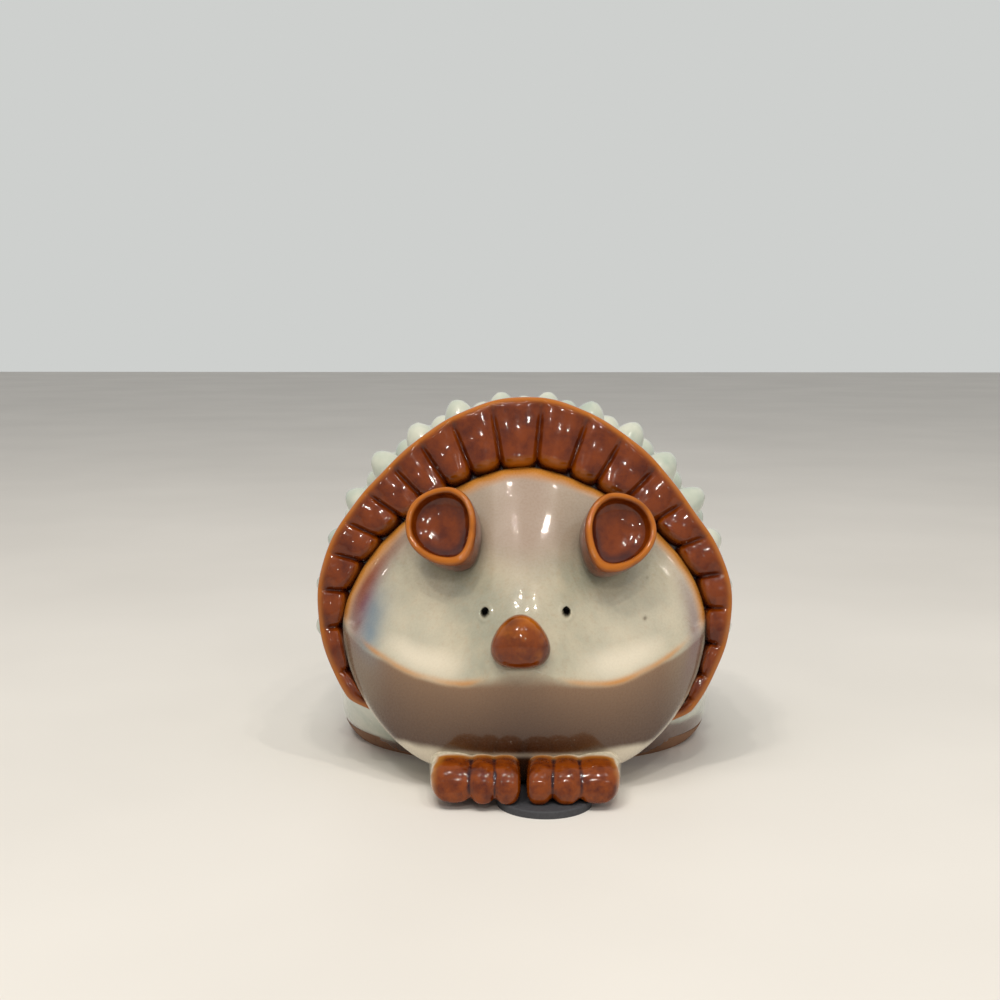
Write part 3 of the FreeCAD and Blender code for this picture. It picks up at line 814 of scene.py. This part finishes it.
def buildEar(name, node, spot, seed):
    count = ear["around"]
    turn = np.linspace(0, 2 * math.pi, count, endpoint=False)
    ox, oz = dropOutline(turn)
    steps = earSteps()
    rows = len(steps)
    stepShares = np.array([share for share, _ in steps])
    local = np.array([np.stack([ox * share, np.full(count, -out), oz * share], axis=-1) for share, out in steps])
    wobble = 0.25 * np.sin(3 * turn + seed) + 0.18 * np.sin(5 * turn + 2.1 * seed)
    local[..., 0] *= 1 + 0.02 * np.sin(2 * turn + seed)[None, :]
    local[..., 1] += wobble[None, :] * 0.8 * stepShares[:, None] ** 2
    local = local.reshape(-1, 3)
    spin = Euler((-math.radians(ear["back"]), 0, 0)).to_matrix()
    spin = spin @ Euler((0, 0, math.radians(spot["turn"]))).to_matrix()
    spin = spin @ Euler((0, math.radians(spot["lean"]), 0)).to_matrix()
    points = local @ np.array(spin).T
    points += np.array([spot["x"], planeY(spot["z"]) - ear["reach"], spot["z"]])
    # glaze: worn on the rim, pooled low in the cup, dark at the root
    shares = np.repeat(stepShares, count)
    rowOf = np.repeat(np.arange(rows), count)
    inCup = rowOf <= ear["cupRows"]
    rimRow = ear["cupRows"] + ear["rimRows"] / 2
    mottle = cloud(local, 6.0, 3, seed)
    low = np.tile(ease(1.0, -9.0, oz), rows)
    ridge = 0.5 * bump(rowOf, rimRow, 4.0) * (1 + 0.6 * mottle) + 0.03 * (1 + mottle) * (shares < 0.5)
    hollow = 0.10 * bump(shares, 0.74, 0.08) * inCup * (1 + mottle)
    poolAndShade = unit(0.72 * bump(shares, 0.64, 0.14) * (rowOf <= ear["cupRows"] + 1) * low * (1 + 0.4 * mottle))
    poolAndShade = np.maximum(poolAndShade, 0.7 * ease(rows - 6, rows - 1, rowOf))
    piece = makeMesh(name, points, closedFaces(rows, count), {
        "rim": 0.5 * bump(rowOf, rimRow + 1, 4.0), "ridge": unit(ridge),
        "hollow": unit(hollow), "poolAndShade": unit(poolAndShade)})
    dress(piece, brownGlaze, "brown_glaze", node)


buildEar("leftSideEar", "right_ear", ear["left"], 0.4)
buildEar("rightSideEar", "left_ear", ear["right"], 1.7)
print("ears cupped")


# nose: a soft three-cornered bead

nose = {
    "x": -0.9, "z": 43.0, "width": 15.4, "height": 15.0, "depth": 13.4, "y": -53.6, "rings": 60, "around": 120,
    "corner": 0.03, "taper": 0.12, "flatBelow": 0.10,
}


def buildNose():
    rings, count = nose["rings"], nose["around"]
    polar = np.linspace(0.02, math.pi - 0.02, rings)[:, None]
    turn = np.linspace(0, 2 * math.pi, count, endpoint=False)[None, :]
    x = np.sin(polar) * np.cos(turn)
    z = np.sin(polar) * np.sin(turn)
    y = -np.cos(polar) * np.ones_like(turn)
    # wider below, gently flattened on three sides
    corner = 1 + nose["corner"] * np.cos(3 * (turn - math.pi / 2)) * np.sin(polar)
    x = x * corner * (1 - nose["taper"] * z)
    z = np.where(z < 0, z * (1 - nose["flatBelow"] * z * z), z) * corner
    points = np.stack([x * nose["width"] / 2, y * nose["depth"] / 2, z * nose["height"] / 2], axis=-1)
    points = points.reshape(-1, 3) + np.array([nose["x"], nose["y"], nose["z"]])
    local = points[:, 2] - nose["z"]
    ridge = 0.24 * ease(0.5, 6.6, local) + 0.2 * cloud(points, 4.0, 3, 1.0) + 0.04
    poolAndShade = 0.3 * ease(-2.5, -7.0, local)
    seam = ease(nose["y"] + 2.0, nose["y"] + 4.8, points[:, 1])
    piece = makeMesh("noseBead", points, closedFaces(rings, count), {
        "ridge": unit(ridge), "rim": 0.1 * bump(local, 3.0, 3.4), "hollow": 0.35 * seam,
        "poolAndShade": unit(poolAndShade + 0.4 * seam)})
    dress(piece, brownGlaze, "brown_glaze", "nose")


buildNose()
print("nose rolled")


# paws: rolled toes pressed side by side

# each toe: its middle, half its width, how far it stands back
paw = {
    "right": {"toes": ((4.2, 3.8, 0.0), (11.4, 4.3, 0.3), (19.6, 5.9, 1.2)), "milkFrom": 27.0},
    "left": {"toes": ((-4.3, 3.8, 0.0), (-10.9, 3.8, 0.2), (-18.8, 5.9, 1.2)), "milkFrom": 25.6},
    "front": -62.2, "top": 11.3, "bottom": 1.9, "back": -40.0, "voxel": 0.42, "rings": 26, "around": 40,
    "nosing": 0.30, "square": 0.72, "climb": 1.4, "widen": 0.25, "apart": 0.8, "swerve": 0.48, "outermost": 18.0,
}


def addToe(tool, toe, side):
    # a long rounded loaf from the front of the paw back under the chin
    middle, half, step = toe
    rings = []
    for t in np.linspace(0, 1, paw["rings"]):
        y = paw["front"] + step + (paw["back"] - paw["front"]) * t
        grow = max(math.sqrt(max(0.0, 1 - (1 - min(t / paw["nosing"], 1.0)) ** 2.3)), 0.03)
        top = paw["bottom"] + (paw["top"] - paw["bottom"] + paw["climb"] * t) * (0.30 + 0.70 * grow)
        wide = half * (0.45 + 0.55 * grow) * (1 + paw["widen"] * t)
        # the two paws stay apart
        seat = side * max(abs(middle), wide + paw["apart"])
        swerve = -side * paw["swerve"] * (1 - t) * abs(middle) / paw["outermost"]
        low = paw["bottom"] + 0.3 * (1 - grow)
        ring = []
        for c in range(paw["around"]):
            q = 2 * math.pi * c / paw["around"]
            across = math.copysign(abs(math.cos(q)) ** paw["square"], math.cos(q))
            up = math.copysign(abs(math.sin(q)) ** paw["square"], math.sin(q))
            z = (top + low) / 2 + (top - low) / 2 * up
            ring.append(tool.verts.new((seat + swerve + wide * across, y, z)))
        rings.append(ring)
    closeTube(tool, rings)


def fusePiece(piece, size, rounds):
    # one closed skin over all the parts, then softened
    modifier = piece.modifiers.new("fuse", "REMESH")
    modifier.mode = "VOXEL"
    modifier.voxel_size = size * mm
    fused = bpy.data.meshes.new_from_object(piece.evaluated_get(bpy.context.evaluated_depsgraph_get()))
    piece.modifiers.clear()
    old = piece.data
    piece.data = fused
    bpy.data.meshes.remove(old)
    fused.shade_smooth()
    soft = spread(readPoints(fused), meshEdges(fused), len(fused.vertices), rounds)
    fused.vertices.foreach_set("co", soft.ravel())
    fused.update()


def buildPaw(name, node, plan, side):
    tool = bmesh.new()
    for toe in plan["toes"]:
        addToe(tool, toe, side)
    placeTool(tool)
    bmesh.ops.recalc_face_normals(tool, faces=tool.faces)
    piece = pieceFromTool(tool, name)
    fusePiece(piece, paw["voxel"], 6)
    markRelief(piece, (3, 16), (0.5, 1.7))
    points = figurePoints(piece.data)
    x, y, z = points.T
    # milky glaze runs down from the face over the outer side and over the top at the back
    wander = cloud(points, 4.0, 3, 5.0)
    edgeX = np.abs(x) + 0.9 * wander + 0.22 * (y - paw["front"])
    milkAndSheen = ease(plan["milkFrom"] - 0.6, plan["milkFrom"] + 0.6, edgeX)
    milkAndSheen = np.maximum(milkAndSheen, ease(10.6, 11.4, z + 0.5 * wander) * ease(-51.5, -49.5, y))
    halo = ease(plan["milkFrom"] - 3.0, plan["milkFrom"], edgeX)
    halo = halo + ease(-53.5, -50.5, y) * ease(10.4, 11.4, z)
    setMask(piece.data, "milkAndSheen", milkAndSheen)
    setMask(piece.data, "halo", 0.7 * unit(halo))
    dress(piece, pawGlaze, "brown_glaze", node)


buildPaw("leftSidePaw", "right_paw", paw["left"], -1)
buildPaw("rightSidePaw", "left_paw", paw["right"], 1)
print("paws pressed")


# back: a smooth dome, with rows of blunt spines luted on and softened into it

# each level: share of the axis height, widening, front and used share of the front
back = {
    "radius": 52.5, "axisZ": 43.5, "middleY": 12.0, "rear": 49.0, "front": 104.0, "used": 58.0, "roundness": 2.25,
    "levels": ((0.00, 0.985, 0.330, 0.970), (0.06, 1.030, 0.350, 0.960), (0.16, 1.065, 0.400, 0.930),
               (0.36, 1.080, 0.530, 0.860), (0.68, 1.045, 0.760, 0.720), (1.00, 1.000, 1.000, 0.558)),
    "steps": 120, "turns": 90, "sideRows": 27, "weld": 0.02, "voxel": 0.8,
    "footEdge": 5.0, "footClimb": 6.0, "footStrength": 0.95,
}
spine = {
    "diameter": 11.4, "length": 11.8, "sink": 3.0, "pitch": 12.0, "rowPitch": 13.0, "firstRow": 12.0,
    "lowest": 37.0, "crownSweep": 14.0, "flankSweep": 34.0, "rows": 8, "lean": 3.5, "lengthPlay": 0.05,
    "rowShare": (1.0, 0.74, 0.72, 0.84, 0.95, 1.0, 1.0, 1.0), "around": 28, "profileRows": 22, "fatPlay": 0.05,
}


def backSide(steps, wider=1.0, front=1.0, used=back["used"] / back["front"]):
    last = math.pi / 2 + math.asin(used)
    turn = last * (1 - np.linspace(0, 1, steps + 1))
    half = wider * back["radius"]
    behind = turn <= math.pi / 2
    sine, cosine = np.abs(np.sin(turn)), np.abs(np.cos(turn))
    power = 2 / back["roundness"]
    across = np.where(behind, half * sine ** power, half * sine)
    along = np.where(behind, back["rear"] * wider * cosine ** power, -back["front"] * front * cosine)
    return across, back["middleY"] + along


def domeSheet():
    steps, turns = back["steps"], back["turns"]
    across, y = backSide(steps)
    swing = np.linspace(0, math.pi, turns + 1)[:, None]
    crown = np.stack([across * np.cos(swing), np.broadcast_to(y, (turns + 1, steps + 1)),
                      back["axisZ"] + across * np.sin(swing)], axis=-1)
    levels = np.array(back["levels"]).T
    sides = []
    for share in np.linspace(0, 1, back["sideRows"] + 1)[:-1]:
        a, b = backSide(steps, *(np.interp(share, levels[0], column) for column in levels[1:]))
        sides.append(np.stack([a, b, np.full(steps + 1, share * back["axisZ"])], axis=-1))
    right = np.array(sides)
    left = right[::-1].copy()
    left[..., 0] *= -1
    return np.concatenate([right, crown, left])


def outlineWalk():
    across, y = backSide(600)
    keep = y >= planeY(back["axisZ"])
    across, y = across[keep], y[keep]
    walked = np.concatenate([[0], np.cumsum(np.hypot(np.diff(across), np.diff(y)))])
    return walked, across, y


def walkSpot(walk, distance, step=0.4):
    # a place on the outline and the way that it faces there
    walked, across, y = walk
    spots = (distance, max(distance - step, 0), min(distance + step, walked[-1]))
    here, before, after = ((np.interp(d, walked, across), np.interp(d, walked, y)) for d in spots)
    dx, dy = after[0] - before[0], after[1] - before[1]
    run = math.hypot(dx, dy)
    return here[0], here[1], (dy / run, -dx / run)


def spineSeats(walk, distance, staggered):
    total = walk[0][-1]
    across, y, outward = walkSpot(walk, distance)
    flank = back["axisZ"] - spine["lowest"]
    over = math.pi * across
    path = over + 2 * flank
    count = max(2, round(path / spine["pitch"]))
    leanShare = 1 - distance / total
    seats = []
    for index in range(count if staggered else count + 1):
        place = path * (index + (0.5 if staggered else 0)) / count
        if place < flank or place > path - flank:
            side = 1 if place < flank else -1
            height = back["axisZ"] - (flank - place if side > 0 else place - (path - flank))
            seats.append((Vector((side * across, y, height)), Vector((side * outward[0], outward[1], 0))))
        else:
            swing = (place - flank) / over * math.pi
            lean = leanShare * across * math.sin(swing) * tanTilt
            wide, leanY, turned = walkSpot(walk, min(distance + lean, total))
            seat = Vector((wide * math.cos(swing), leanY, back["axisZ"] + wide * math.sin(swing)))
            seats.append((seat, Vector((turned[0] * math.cos(swing), turned[1], turned[0] * math.sin(swing)))))
    return seats


def spineProfile():
    foot = spine["diameter"] / 2
    heights = np.linspace(0, spine["length"], spine["profileRows"])
    share = heights / spine["length"]
    radius = foot * unit(1 - share ** 3.4) ** 0.6 * (1 - 0.22 * share)
    return [(-spine["sink"], foot * 1.02)] + list(zip(heights, radius))


def addDome(tool):
    verts = [[tool.verts.new(Vector(p)) for p in row] for row in domeSheet()]
    for low, high in zip(verts, verts[1:]):
        for c in range(back["steps"]):
            tool.faces.new((low[c], low[c + 1], high[c + 1], high[c]))
    bmesh.ops.remove_doubles(tool, verts=tool.verts, dist=back["weld"])
    bmesh.ops.holes_fill(tool, edges=[e for e in tool.edges if e.is_boundary], sides=0)
    bmesh.ops.recalc_face_normals(tool, faces=tool.faces)
    # trim the front flush with the ruff's plane
    normal = Vector((0, -math.cos(ruffPlane["tilt"]), math.sin(ruffPlane["tilt"])))
    bmesh.ops.bisect_plane(tool, geom=tool.verts[:] + tool.edges[:] + tool.faces[:], dist=0.001, clear_outer=True,
                           plane_co=Vector((0, ruffPlane["y"], ruffPlane["z"])), plane_no=normal)
    bmesh.ops.holes_fill(tool, edges=[e for e in tool.edges if e.is_boundary], sides=0)


def addSpine(tool, profile, seat, normal, rowShare):
    flankShare = abs(normal.x) ** 2
    sweep = spine["crownSweep"] * (1 - flankShare) + spine["flankSweep"] * flankShare
    aim = normal + Vector((0, math.tan(math.radians(sweep)), 0))
    aim.normalize()
    play = rng.uniform(-1, 1, 5)
    aim += Vector((play[0], play[1] * 0.5, play[2])) * math.tan(math.radians(spine["lean"])) * 0.6
    spin = Vector((0, 0, 1)).rotation_difference(aim.normalized())
    longer = rowShare * (1 + spine["lengthPlay"] * (play[3] - 0.5))
    fatter = 1 + spine["fatPlay"] * play[4]
    rings = []
    for height, radius in profile:
        ring = []
        for c in range(spine["around"]):
            q = 2 * math.pi * c / spine["around"]
            wide = radius * fatter
            local = Vector((wide * math.cos(q), wide * math.sin(q), height * (longer if height > 0 else 1)))
            ring.append(tool.verts.new(seat + spin @ local))
        rings.append(ring)
    closeTube(tool, rings)


def buildBack():
    tool = bmesh.new()
    addDome(tool)
    walk = outlineWalk()
    profile = spineProfile()
    seatCount = 0
    for number, rowShare in enumerate(spine["rowShare"]):
        distance = spine["firstRow"] + number * spine["rowPitch"]
        for seat, normal in spineSeats(walk, distance, number % 2 == 1):
            addSpine(tool, profile, seat, normal, rowShare)
            seatCount += 1
    placeTool(tool)
    piece = pieceFromTool(tool, "spinyBack")
    fusePiece(piece, back["voxel"], 3)
    markRelief(piece, (3, 14), (0.35, 0.8))
    points = figurePoints(piece.data)
    x, y, z = points.T
    # bare clay foot, higher at the front on the right of the picture
    climb = back["footClimb"] * ease(10, 45, x) * ease(10, -10, y)
    edge = back["footEdge"] + climb + 1.6 * cloud(points, 14.0, 3, 6.0)
    setMask(piece.data, "foot", (1 - ease(edge - 1.0, edge + 1.4, z)) * back["footStrength"])
    dress(piece, coatGlaze, "pale_glaze", "back_shell", *["spine_row_%d" % (n + 1) for n in range(spine["rows"])])
    print("back covered with", seatCount, "spines,", len(piece.data.vertices), "points")


buildBack()


# pieces that keep their own solids

for node, material in (("base_slab", bareClay), ("front_pad", padRubber)):
    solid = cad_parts[node]
    solid.data.materials.clear()
    solid.data.materials.append(material)
print("slab and pad finished")


# studio

# the camera stands in mm in the frame that the figure was drawn in, its focal length in pixels of 1000
studio = {
    "wall": (206, 208, 206), "worldLight": 0.42, "worldTint": (1.0, 0.985, 0.96, 1), "floorHalf": 3.0,
    "camera": (0.0, -404.99, 126.84), "pitch": 7.45, "yaw": -1.02, "focal": 1374.0, "pixels": 1000,
    "sensor": 36.0,
}
floorLook = {
    "dark": (214, 210, 204), "light": (222, 218, 212), "mottle": (6.0, 3.0), "span": (0.3, 0.7),
    "rough": 0.55,
}
# all lamps look at the middle of the figure; the small ones differ only in where they stand
lamps = {
    "aim": (0.0, -0.01, 0.05), "warm": (1.0, 0.95, 0.86), "cool": (0.95, 0.97, 1.0), "white": (1.0, 0.97, 0.92),
    "spots": ((-0.36, -0.50), (-0.30, -0.52), (-0.16, -0.40), (0.10, -0.62), (0.14, -0.58), (0.34, -0.40),
              (0.44, -0.52)),
    "front": ((0.02, 0.66), (0.05, 0.64), (0.0, 0.60), (0.36, 0.5), (-0.42, 0.55)),
}


def buildFloor(look):
    material, tree, shader = startMaterial("paleFloor")
    tree.links.new(mottled(tree, look)[1], shader.inputs["Base Color"])
    shader.inputs["Roughness"].default_value = look["rough"]
    span = studio["floorHalf"]
    mesh = bpy.data.meshes.new("floor")
    mesh.from_pydata([(-span, -span, 0), (span, -span, 0), (span, span, 0), (-span, span, 0)], [], [(0, 1, 2, 3)])
    mesh.materials.append(material)
    addObject("floor", mesh)


def buildWorld():
    # the camera and the glaze see a plain wall, the rest is lit by a softer room
    world = bpy.data.worlds.new("softRoom")
    bpy.context.scene.world = world
    world.use_nodes = True
    tree = world.node_tree
    tree.nodes.clear()
    output = tree.nodes.new("ShaderNodeOutputWorld")
    paths = tree.nodes.new("ShaderNodeLightPath")
    seen = sumNode(tree, "MAXIMUM", paths.outputs["Is Camera Ray"], paths.outputs["Is Transmission Ray"])
    seen = sumNode(tree, "MAXIMUM", seen, paths.outputs["Is Glossy Ray"])
    mix = tree.nodes.new("ShaderNodeMixShader")
    tree.links.new(seen, mix.inputs["Fac"])
    wall = colourOf(studio["wall"])
    for slot, colour, strength in ((1, studio["worldTint"], studio["worldLight"]), (2, wall, 1.0)):
        light = tree.nodes.new("ShaderNodeBackground")
        light.inputs["Color"].default_value = colour
        light.inputs["Strength"].default_value = strength
        tree.links.new(light.outputs["Background"], mix.inputs[slot])
    tree.links.new(mix.outputs["Shader"], output.inputs["Surface"])


def addLamp(name, place, size, watts, tint, mirrored=False):
    # place and size in metres
    lamp = bpy.data.lights.new(name, "AREA")
    lamp.shape = "DISK"
    lamp.size = size
    lamp.energy = watts
    lamp.color = tint
    holder = addObject(name, lamp)
    holder.location = Vector(place)
    holder.rotation_euler = (Vector(lamps["aim"]) - Vector(place)).to_track_quat("-Z", "Y").to_euler()
    # the broad lamps light the glaze without a broad white streak in it
    holder.visible_glossy = mirrored


buildFloor(floorLook)
buildWorld()
addLamp("softTop", (-0.20, -0.30, 1.15), 0.8, 4.9, lamps["white"])
addLamp("sideFill", (0.95, -0.55, 0.6), 0.7, 1.5, lamps["cool"])
for i, (x, y) in enumerate(lamps["spots"]):
    addLamp("smallSpot%d" % i, (x, y, 1.02), 0.026, 0.8, lamps["warm"], True)
for i, (x, z) in enumerate(lamps["front"]):
    addLamp("frontSpot%d" % i, (x, -0.9, z), 0.024, 0.4, lamps["warm"], True)

cameraData = bpy.data.cameras.new("photoCamera")
camera = addObject("photoCamera", cameraData)
cameraData.sensor_width = studio["sensor"]
cameraData.lens = studio["focal"] / studio["pixels"] * studio["sensor"]
cameraData.clip_start = 0.01
camera.location = (studio["camera"][0] * mm, (studio["camera"][1] + shiftY) * mm, studio["camera"][2] * mm)
camera.rotation_euler = Euler((math.radians(90 - studio["pitch"]), 0, math.radians(-studio["yaw"])))
bpy.context.scene.camera = camera
bpy.context.scene.view_settings.view_transform = "Standard"
print("studio lit")
